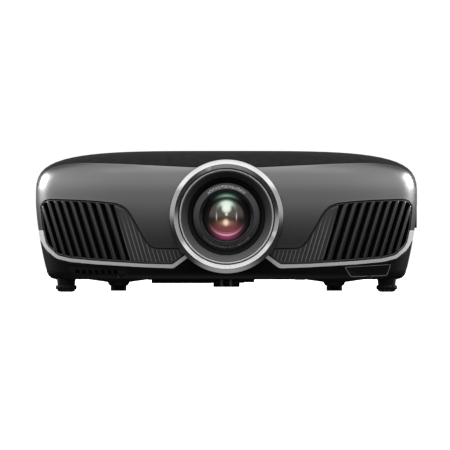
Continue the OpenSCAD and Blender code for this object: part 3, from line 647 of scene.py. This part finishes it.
# Painted highlights: a light line along each rib crest of the panel, strongest low down and fading out
# towards the top, where light would catch the ribs.
tree = panel_grey.node_tree
shader = tree.nodes["Principled BSDF"]
split = put(tree, "ShaderNodeSeparateXYZ", [(0, put(tree, "ShaderNodeTexCoord").outputs["Object"])])
up = sums(tree, "MULTIPLY", split.outputs["Z"], PER_METRE)
out_x = sums(tree, "MULTIPLY", sums(tree, "ABSOLUTE", split.outputs["X"]), PER_METRE)
lined = sums(tree, "ADD", out_x, sums(tree, "MULTIPLY", sums(tree, "SUBTRACT", SLANT_Z, up), SLANT))
phase = sums(tree, "PINGPONG", sums(tree, "SUBTRACT", lined, FIRST_RIB), RIB_PITCH / 2)
crest = put(tree, "ShaderNodeMapRange", [("Value", phase), ("From Min", 0.6), ("From Max", 0.2)]).outputs[0]
fading = put(tree, "ShaderNodeMapRange", [("Value", up), ("From Min", 108.0), ("From Max", 78.0)]).outputs[0]
before = shader.inputs["Base Color"].links[0].from_socket
rib_highlight_mask = sums(tree, "MULTIPLY", sums(tree, "MULTIPLY", crest, fading), 0.75)
tree.links.new(blend(tree, rib_highlight_mask, before, shade(150)), shader.inputs["Base Color"])
for label, side in (("left", -1), ("right", 1)):
    node = f"vent_grille_{label}"
    rim_loops = [inset(rim, by) for by, _ in RIM_SECTION]

    def rim_at(i, j):
        depth = RIM_SECTION[j % len(RIM_SECTION)]
        x, z = rim_loops[j % len(RIM_SECTION)][i % len(rim)]
        p = front_point(x, z, depth[1])
        return (p.x * side, p.y, p.z)

    piece(f"grille_rim_{label}", sheet(len(rim), len(RIM_SECTION), rim_at), grille_black, replaces=[node],
          closed=True)
    for k in range(1, 11):
        foot = 153 + 12.9 * k - 0.19 * k * k
        bulk = (12.9 - 0.38 * k) / 12.7
        reach = span(lambda z: foot - (SLANT_Z - z) * SLANT - 4 * bulk)
        if not reach or reach[1] - reach[0] < 12:
            continue
        low, high = reach[0] - 1.2, reach[1] + 1.2

        def vane_at(i, j):
            z = low + (high - low) * i / 28
            across, deep = VANE_SECTION[j % len(VANE_SECTION)]
            p = front_point(foot - (SLANT_Z - z) * SLANT + across * bulk, z, deep)
            return (p.x * side, p.y, p.z)

        vane = sheet(28, len(VANE_SECTION), vane_at)
        bmesh.ops.holes_fill(vane, edges=[e for e in vane.edges if e.is_boundary])
        piece(f"vane_{label}_{k}", vane, grille_black, replaces=[node], closed=True)
    stations = [(154.6, 8.0, 0), (154.0, 4.4, 0), (153.4, 2.8, 0), (152.6, 2.0, 0)]
    for k in range(13):
        middle = FIRST_RIB - RIB_PITCH * k
        stations += [(middle + 1.2, 1.9, 0), (middle + 0.5, 1.9, 0.5), (middle, 1.9, 1.0),
                     (middle - 0.5, 1.9, 0.5), (middle - 1.2, 1.9, 0), (middle - 2.8, 1.9, 0)]
    stations.reverse()
    spans = [span(lambda z: q - (SLANT_Z - z) * SLANT) or (52, 58) for q, _, _ in stations]

    def panel_at(i, j):
        q, deep, ridge = stations[i]
        z = spans[i][0] + (spans[i][1] - spans[i][0]) * j / 26
        fade = min(1, max(0, (104 - z) / 22))
        p = front_point(q - (SLANT_Z - z) * SLANT, z, deep - 0.85 * ridge * fade)
        return (p.x * side, p.y, p.z)

    panel = sheet(len(stations) - 1, 26, panel_at)
    if side < 0:
        bmesh.ops.reverse_faces(panel, faces=panel.faces)
    piece(f"ribbed_panel_{label}", panel, panel_grey, replaces=[node], wall=1.2)

    def mesh_at(i, j):
        x = 62 + 188.0 * i / 60
        low, high = span(lambda z: x) or (60, 64)
        p = front_point(x, low - 2 + (high - low + 4) * j / 16, 15.5)
        return (p.x * side, p.y, p.z)

    backing = sheet(60, 16, mesh_at)
    if side < 0:
        bmesh.ops.reverse_faces(backing, faces=backing.faces)
    piece(f"grille_mesh_{label}", backing, well_black, replaces=[node], wall=0.8)

# ---------------------------------------------------------------- lower front openings
# A dark dust mesh stands behind the slotted insert on the left. A thin light bead runs
# round the infrared window on the right.
def insert_at(i, j):
    return front_point(-217 + 89 * i / 20, 21 + 15.5 * j / 4, 4)


piece("insert_mesh", sheet(20, 4, insert_at), well_black, wall=0.6)
bead_grey = surface("Bead grey", shade(120), 0.4, grain_height=0.02)
bead_line = rounded(spaced(WINDOW, 1.2), 2)
BEAD = [(-0.75, 1.2), (-0.75, 0.2), (-0.45, 0.0), (-0.05, 0.0), (0.2, 0.2), (0.2, 1.2)]
bead_loops = [inset(bead_line, -by) for by, _ in BEAD]


def bead_at(i, j):
    x, z = bead_loops[j % len(BEAD)][i % len(bead_line)]
    return front_point(x, z, BEAD[j % len(BEAD)][1])


window_bead = sheet(len(bead_line), len(BEAD), bead_at)
piece("window_bead", window_bead, bead_grey, closed=True)

# ---------------------------------------------------------------- lens surround
# A turned aluminium ring with two broad bevels, a thin bright ring behind it and a dark
# funnel. All three are pressed into the front and screwed from behind.
AXIS = (0, 1, 0)
LENS = (0, FRONT_Y, LENS_Z)
ring = turned([(65.6, 5.0), (70.8, 0.2), (71.2, 0.2), (76.4, 4.7), (77.0, 5.4), (77.0, 47), (74, 47),
               (74, 12), (65.6, 12)], LENS, AXIS, 160)
piece("ring_outer", ring, ring_metal, replaces=["lens_ring"], bevel=0.35, closed=True)
thin = turned([(61.9, 8.2), (62.6, 6.6), (63.6, 6.6), (64.2, 8.2), (64.2, 14), (61.9, 14)], LENS, AXIS, 160)
piece("ring_inner", thin, trim_silver, replaces=["ring_accent"], bevel=0.25, closed=True)
funnel = turned([(60.8, 8.8), (61.7, 8.8), (61.7, 14.6), (73.6, 14.6), (73.6, 16.4), (60.4, 16.4), (54.6, 30),
                 (52.8, 30), (52.8, 28.6), (55.2, 22), (58.4, 13.5)], LENS, AXIS, 160)
piece("funnel", funnel, funnel_grey, replaces=["lens_funnel"], bevel=0.3, closed=True)


# ---------------------------------------------------------------- lens barrel and glass
# The barrel is a black-anodised tube with a satin front face that carries fine index
# marks. The front glass, with its anti-reflection coating, is held in it by a threaded ring.
# Its coloured reflections and highlights are painted reflections that glow from its material.
def distance(tree, a, b):
    """Length of the line whose two sides are a and b."""
    return sums(tree, "SQRT", sums(tree, "ADD", sums(tree, "MULTIPLY", a, a), sums(tree, "MULTIPLY", b, b)))


def lens_place(tree, position):
    """X and Z of a position in millimetres, with Z counted from the lens axis."""
    parts = put(tree, "ShaderNodeSeparateXYZ", [(0, position)])
    return (sums(tree, "MULTIPLY", parts.outputs["X"], PER_METRE),
            sums(tree, "MULTIPLY_ADD", parts.outputs["Z"], PER_METRE, -LENS_Z))


marks, marks_in, marks_out = new_group("Index marks", [
    ("Position", V, "INPUT", None), ("Radius", F, "INPUT", 40.0), ("Band", F, "INPUT", 2.6),
    ("Side", F, "INPUT", 1.0), ("Spread", F, "INPUT", 0.75), ("Mask", F, "OUTPUT", None)])
mx, mz = lens_place(marks, marks_in.outputs["Position"])
radius = distance(marks, mx, mz)
turn = sums(marks, "ARCTAN2", mx, sums(marks, "MULTIPLY", mz, marks_in.outputs["Side"]))
in_band = sums(marks, "LESS_THAN", sums(marks, "ABSOLUTE", sums(marks, "SUBTRACT", radius,
                                                                 marks_in.outputs["Radius"])),
               sums(marks, "MULTIPLY", marks_in.outputs["Band"], 0.5))
in_arc = sums(marks, "LESS_THAN", sums(marks, "ABSOLUTE", turn), marks_in.outputs["Spread"])
arc_place = put(marks, "ShaderNodeCombineXYZ", [(0, sums(marks, "MULTIPLY", turn, 40.0)),
                                                (1, sums(marks, "MULTIPLY", radius, 0.6))])
strokes = put(marks, "ShaderNodeTexNoise", [("Vector", arc_place.outputs[0]), ("Scale", 0.9),
                                            ("Detail", 1.0)]).outputs["Fac"]
drawn = sums(marks, "GREATER_THAN", strokes, 0.53)
inked = sums(marks, "MULTIPLY", sums(marks, "MULTIPLY", in_band, in_arc), drawn)
marks.links.new(inked, marks_out.inputs["Mask"])

barrel_face = surface("Barrel face", shade(78), 0.3, metallic=0.9, grain_height=0.05, dusty=0.0)
tree = barrel_face.node_tree
shader = tree.nodes["Principled BSDF"]
spot = put(tree, "ShaderNodeTexCoord").outputs["Object"]
before = shader.inputs["Base Color"].links[0].from_socket
for reach, band, side, spread in ((40.3, 3.8, 1.0, 0.68), (41.9, 2.5, -1.0, 0.84)):
    group = put(tree, "ShaderNodeGroup", node_tree=marks)
    tree.links.new(spot, group.inputs["Position"])
    for key, value in (("Radius", reach), ("Band", band), ("Side", side), ("Spread", spread)):
        group.inputs[key].default_value = value
    before = blend(tree, group.outputs["Mask"], before, shade(178))
tree.links.new(before, shader.inputs["Base Color"])

BARREL_Y = FRONT_Y + 38.6
barrel = turned([(36.6, 0.8), (36.9, 0.05), (44.8, 0.65), (45.6, 0.9), (46.4, 1.9), (46.4, 45.8), (38, 50.8),
                 (38, 94), (50, 94), (50, 100.2), (28, 100.2), (28, 123.8), (25, 123.8), (25, 95.8),
                 (35, 91.8), (35, 52.8), (42, 43.8), (42, 19), (33.4, 19), (33.4, 7.5), (34.2, 2.2)],
                (0, BARREL_Y, LENS_Z), AXIS, 128)
piece("barrel", barrel, barrel_face, body="pan_body", replaces=["lens_barrel"], bevel=0.25,
      closed=True)

# Soft spots and glow arcs are masks that place the painted reflections on the front glass.
spots, spots_in, spots_out = new_group("Soft spot", [
    ("Position", V, "INPUT", None), ("Across", F, "INPUT", 0.0), ("Up", F, "INPUT", 0.0),
    ("Width", F, "INPUT", 5.0), ("Height", F, "INPUT", 5.0), ("Hardness", F, "INPUT", 2.0),
    ("Mask", F, "OUTPUT", None)])
sx, sz = lens_place(spots, spots_in.outputs["Position"])
dx = sums(spots, "DIVIDE", sums(spots, "SUBTRACT", sx, spots_in.outputs["Across"]), spots_in.outputs["Width"])
dz = sums(spots, "DIVIDE", sums(spots, "SUBTRACT", sz, spots_in.outputs["Up"]), spots_in.outputs["Height"])
away = sums(spots, "POWER", distance(spots, dx, dz), spots_in.outputs["Hardness"])
spots.links.new(sums(spots, "EXPONENT", sums(spots, "MULTIPLY", away, -1.0)), spots_out.inputs["Mask"])

arcs, arcs_in, arcs_out = new_group("Glow arc", [
    ("Position", V, "INPUT", None), ("Up", F, "INPUT", 0.0), ("Radius", F, "INPUT", 24.0),
    ("Thickness", F, "INPUT", 1.5), ("Side", F, "INPUT", 1.0), ("Spread", F, "INPUT", 3.0),
    ("Mask", F, "OUTPUT", None)])
ax, height = lens_place(arcs, arcs_in.outputs["Position"])
az = sums(arcs, "SUBTRACT", height, arcs_in.outputs["Up"])
ar = distance(arcs, ax, az)
past = sums(arcs, "SUBTRACT", ar, arcs_in.outputs["Radius"])
off = sums(arcs, "DIVIDE", past, arcs_in.outputs["Thickness"])
line = sums(arcs, "EXPONENT", sums(arcs, "MULTIPLY", sums(arcs, "MULTIPLY", off, off), -1.0))
toward = sums(arcs, "MULTIPLY", az, arcs_in.outputs["Side"])
lean = sums(arcs, "MAXIMUM", sums(arcs, "DIVIDE", toward, ar), 0.0)
arcs.links.new(sums(arcs, "MULTIPLY", line, sums(arcs, "POWER", lean, arcs_in.outputs["Spread"])),
               arcs_out.inputs["Mask"])

painted_reflection_glass = surface("Glass with painted reflections", shade(12, 10, 11), 0.06, grain_size=300.0, grain_height=0.0, dusty=0.0,
                 rubbed=0.0)
tree = painted_reflection_glass.node_tree
shader = tree.nodes["Principled BSDF"]
spot = put(tree, "ShaderNodeTexCoord").outputs["Object"]
# Painted reflections and highlights: the glass glows with soft coloured arcs and spots laid one over another,
# and is painted dark towards its rim.
painted_reflection = shade(10, 9, 9)
# arcs: height of the centre, radius, thickness, side, spread, colour, strength
# spots: across, up, width, height, hardness, colour, strength
LAYERS = [
    (arcs, (0, 30.5, 4.5, -1, 5), (116, 44, 84), 1.0),
    (spots, (0, -4, 20, 19, 3), (54, 45, 40), 1.0),
    (spots, (0, 5, 16, 10, 3), (66, 62, 50), 0.8),
    (spots, (0, -14.5, 18, 7.5, 3), (118, 62, 66), 0.85),
    (arcs, (0, 25.4, 1.5, -1, 4), (236, 158, 180), 0.95),
    (arcs, (0, 22.4, 1.0, -1, 6), (190, 104, 116), 0.75),
    (arcs, (0, 19.6, 0.8, -1, 5), (150, 84, 88), 0.6),
    (arcs, (0, 17.0, 0.8, -1, 4), (140, 84, 80), 0.5),
    (arcs, (0, 29.2, 0.7, -1, 8), (170, 80, 130), 0.6),
    (arcs, (0, 31.4, 0.6, -1, 6), (150, 60, 110), 0.5),
    (arcs, (-2, 26, 5, 1, 7), (34, 52, 43), 1.0),
    (arcs, (0, 28.4, 1.7, 1, 14), (150, 182, 166), 0.85),
    (arcs, (0, 31.6, 0.8, 1, 6), (60, 104, 84), 0.8),
    (arcs, (5.5, 13.5, 2.6, 1, 2.2), (190, 214, 198), 0.9),
    (spots, (0, 16.5, 7.5, 4.5, 4), (216, 234, 220), 1.0),
    (spots, (0, 11.2, 6.3, 6.3, 5), (230, 240, 228), 1.0),
    (spots, (0, 5, 1.7, 2.8, 2), (205, 205, 185), 0.8),
    (spots, (0, 2.6, 1.8, 1.7, 3), (222, 214, 190), 0.9),
    (spots, (-0.6, -9, 8.5, 3.4, 2), (190, 140, 115), 0.75),
    (spots, (-0.8, -8.2, 3.7, 4.2, 3), (250, 222, 200), 0.95),
    (spots, (-13.5, 0, 0.75, 4.6, 2), (208, 196, 178), 0.9),
    (spots, (13.5, 0, 0.75, 4.6, 2), (208, 196, 178), 0.9)]
KEYS = {arcs: ("Up", "Radius", "Thickness", "Side", "Spread"),
        spots: ("Across", "Up", "Width", "Height", "Hardness")}
for kind, settings, colour, strength in LAYERS:
    group = put(tree, "ShaderNodeGroup", node_tree=kind)
    tree.links.new(spot, group.inputs["Position"])
    for key, value in zip(KEYS[kind], settings):
        group.inputs[key].default_value = value
    painted_reflection = blend(tree, sums(tree, "MULTIPLY", group.outputs["Mask"], strength), painted_reflection, shade(*colour))
edge = put(tree, "ShaderNodeGroup", node_tree=spots)
tree.links.new(spot, edge.inputs["Position"])
for key, value in (("Width", 30.0), ("Height", 33.2), ("Hardness", 14.0)):
    edge.inputs[key].default_value = value
tree.links.new(blend(tree, edge.outputs["Mask"], shade(6), painted_reflection), shader.inputs["Emission Color"])
shader.inputs["Emission Strength"].default_value = 1.0


def lens_cap(radius, ball, front, thick, rear_ball, steps=96):
    """A glass element: a ball surface in front, another behind and a straight rim. A
    negative rear ball bulges backwards."""
    profile = []
    for k in range(13):
        r = radius * k / 12
        profile.append((r, front + ball - math.sqrt(ball * ball - r * r)))
    for k in range(12, -1, -1):
        r = radius * k / 12
        sag = rear_ball - math.copysign(math.sqrt(rear_ball ** 2 - r * r), rear_ball)
        profile.append((r, front + thick + sag))
    return turned(profile, (0, BARREL_Y, LENS_Z), AXIS, steps, closed=False)


front_glass = piece("glass_front", lens_cap(33, 60, 2.2, 5, 90), painted_reflection_glass, body="pan_body",
                    replaces=["lens_elements"], closed=True)
front_glass.visible_diffuse = False
front_glass.visible_glossy = False
piece("glass_rear", lens_cap(24.6, 200, 110, 6, -160), clear_glass, body="pan_body",
      replaces=["lens_elements"], closed=True)
baffle = turned([(46.5, 2.0), (60.5, 2.0), (61.0, 2.5), (61.0, 3.2), (46.5, 3.2)], (0, BARREL_Y, LENS_Z),
                AXIS, 96)
piece("barrel_baffle", baffle, well_black, body="pan_body", replaces=["lens_barrel"],
      closed=True)

# ---------------------------------------------------------------- finishes of the frame's own parts
# Parts whose shape is already right keep it and only get a finish and softened edges.
FINISHES = {
    "case_black": case_black, "fascia_grey": fascia_paint, "grille_black": grille_black,
    "silver_trim": trim_silver, "ring_silver": ring_metal, "well_black": well_black,
    "barrel_black": barrel_face, "lens_glass": painted_reflection_glass,
    "window_dark": surface("Infrared window", shade(10, 8, 11), 0.15, grain_height=0.0, coat=0.1, dusty=0.0,
                           shine=0.3),
    "button_grey": surface("Button grey", shade(92), 0.4, grain_height=0.1),
    "steel": surface("Zinc-plated steel", shade(172, 174, 176), 0.3, metallic=1.0, grain_size=500.0),
    "brass": surface("Turned brass", shade(196, 164, 96), 0.28, metallic=1.0, grain_size=500.0),
    "rubber": rubber,
    "engine_cast": surface("Cast aluminium", shade(120, 122, 125), 0.5, metallic=0.9, grain_size=900.0,
                           grain_height=0.4),
    "prism_glass": clear_glass,
    "gear_white": surface("Acetal", shade(222, 222, 216), 0.35, grain_height=0.05),
    "fan_black": surface("Fan black", shade(34), 0.4, grain_height=0.1),
    "filter_media": surface("Filter media", shade(168, 172, 172), 0.9, grain_size=450.0, grain_height=0.6),
    "board_green": surface("Circuit board", shade(28, 92, 58), 0.35, grain_size=260.0, grain_height=0.2),
    "board_brown": surface("Power board", shade(150, 116, 62), 0.5, grain_size=260.0, grain_height=0.2),
    "lamp_housing": surface("Lamp housing", shade(88), 0.45, grain_height=0.3)}
SOFT = {"rear_panel": 0.4, "filter_cover": 0.4, "control_door": 0.3, "lamp_cover": 0.4, "rear_feet": 0.5,
        "power_inlet": 0.3, "control_panel": 0.2}
for part in frame["record"]["subparts"]:
    obj = frame["nodes"][part["node"]]
    finish = insert_black if part["node"] == "front_vent_insert" else FINISHES[part["material_slot"]]
    for holder in obj.material_slots:
        holder.link = "OBJECT"
        holder.material = finish
    if part["node"] in SOFT or part["node"].startswith("button_"):
        weld = obj.modifiers.new("Joined", "WELD")
        weld.merge_threshold = 0.00001
        soft = obj.modifiers.new("Soft edges", "BEVEL")
        soft.width = SOFT.get(part["node"], 0.35) * MM
        soft.segments = 2
        soft.limit_method = "ANGLE"
        soft.angle_limit = math.radians(40)


# ---------------------------------------------------------------- studio
# A plain pale floor, a large soft box above and in front, and a studio dome that is
# brighter above than near the floor. The camera itself sees the dome as plain white.
BACKDROP = 1.05
floor_mat = bpy.data.materials.new("Pale floor")
floor_mat.use_nodes = True
tree = floor_mat.node_tree
shader = tree.nodes["Principled BSDF"]
soft_noise = put(tree, "ShaderNodeTexNoise", [("Vector", put(tree, "ShaderNodeTexCoord").outputs["Object"]),
                                              ("Scale", 0.6)]).outputs["Fac"]
tree.links.new(blend(tree, soft_noise, (0.96, 0.96, 0.96, 1), (1, 1, 1, 1)), shader.inputs["Emission Color"])
shader.inputs["Emission Strength"].default_value = BACKDROP
shader.inputs["Base Color"].default_value = (0.9, 0.9, 0.9, 1)
floor = box((-9000, -9000, -12), (9000, 9000, -0.2))
floor_mesh = bpy.data.meshes.new("studio_floor")
floor.to_mesh(floor_mesh)
floor.free()
floor_mesh.materials.append(floor_mat)
studio = bpy.data.objects.new("studio_floor", floor_mesh)
bpy.context.collection.objects.link(studio)
studio.visible_diffuse = False
studio.visible_glossy = False
studio.visible_shadow = False


def softbox(name, place, aim, wide, high, power):
    light = bpy.data.lights.new(name, "AREA")
    light.shape = "RECTANGLE"
    light.size = wide
    light.size_y = high
    light.energy = power
    obj = bpy.data.objects.new(name, light)
    bpy.context.collection.objects.link(obj)
    obj.location = place
    obj.rotation_euler = (Vector(aim) - Vector(place)).to_track_quat("-Z", "Y").to_euler()
    return obj


softbox("box_top", (0, -1.0, 2.1), (0, -0.1, 0.1), 2.4, 1.3, 5)
for name, side in (("box_back_left", -1), ("box_back_right", 1)):
    softbox(name, (side * 2.6, 2.2, 0.9), (0, 0.1, 0.1), 1.6, 1.2, 60)
world = bpy.data.worlds.new("Studio dome")
world.use_nodes = True
tree = world.node_tree
way = put(tree, "ShaderNodeSeparateXYZ", [(0, put(tree, "ShaderNodeTexCoord").outputs["Generated"])])
dome_ramp = put(tree, "ShaderNodeValToRGB", [(0, sums(tree, "MULTIPLY_ADD", way.outputs["Z"], 0.5, 0.5))])
# elevation in degrees and brightness of the studio at that height
DOME = [(-90, 1.0), (-76, 0.9), (-52, 0.06), (-18, 0.015), (-11, 0.035), (-5, 0.17), (0, 0.72), (2.5, 0.94),
        (5, 1.04), (14, 1.12), (40, 1.1), (60, 1.02), (76, 1.0), (90, 1.1)]
stops = dome_ramp.color_ramp.elements
BRIGHTEST = 1.2
for elevation, level in DOME:
    position = math.sin(math.radians(elevation)) / 2 + 0.5
    if elevation in (-90, 90):
        stop = stops[0 if elevation < 0 else -1]
        stop.position = position
    else:
        stop = stops.new(position)
    stop.color = (level / BRIGHTEST, level / BRIGHTEST, level / BRIGHTEST, 1)
behind = put(tree, "ShaderNodeMapRange", [("Value", way.outputs["Y"]), ("From Min", 0.35), ("From Max", 0.65),
                                          ("To Min", 0.0), ("To Max", 0.87)])
centre = put(tree, "ShaderNodeMapRange", [("Value", sums(tree, "ABSOLUTE", way.outputs["X"])),
                                          ("From Min", 0.7), ("From Max", 0.45)])
lit = sums(tree, "SUBTRACT", 1.0, sums(tree, "MULTIPLY", behind.outputs[0], centre.outputs[0]))
flanks = sums(tree, "MULTIPLY_ADD", sums(tree, "MULTIPLY", way.outputs["X"], way.outputs["X"]), 0.35, 1.0)
seen = put(tree, "ShaderNodeLightPath").outputs["Is Camera Ray"]
level = sums(tree, "MULTIPLY", sums(tree, "MULTIPLY", lit, flanks), BRIGHTEST)
strength = put(tree, "ShaderNodeMix", [(0, seen), (2, level), (3, BACKDROP)]).outputs[0]
sky = tree.nodes["Background"]
tree.links.new(blend(tree, seen, dome_ramp.outputs["Color"], (1, 1, 1, 1)), sky.inputs["Color"])
tree.links.new(strength, sky.inputs["Strength"])
bpy.context.scene.world = world
bpy.context.scene.view_settings.view_transform = "Standard"

# ---------------------------------------------------------------- camera
# Far off and level with the lens, looking straight at the front.
camera_data = bpy.data.cameras.new("camera")
camera = bpy.data.objects.new("camera", camera_data)
bpy.context.collection.objects.link(camera)
EYE_Z = 0.103
AIM_Z = 0.0909
DISTANCE = 19.92
VIEW_W = 0.6133
camera.location = (-0.002, -20, EYE_Z)
camera.rotation_euler = (math.radians(90), 0, 0)
camera_data.lens = 36 * DISTANCE / VIEW_W
camera_data.sensor_width = 36
camera_data.shift_y = (AIM_Z - EYE_Z) / VIEW_W
camera_data.clip_end = 60
bpy.context.scene.camera = camera
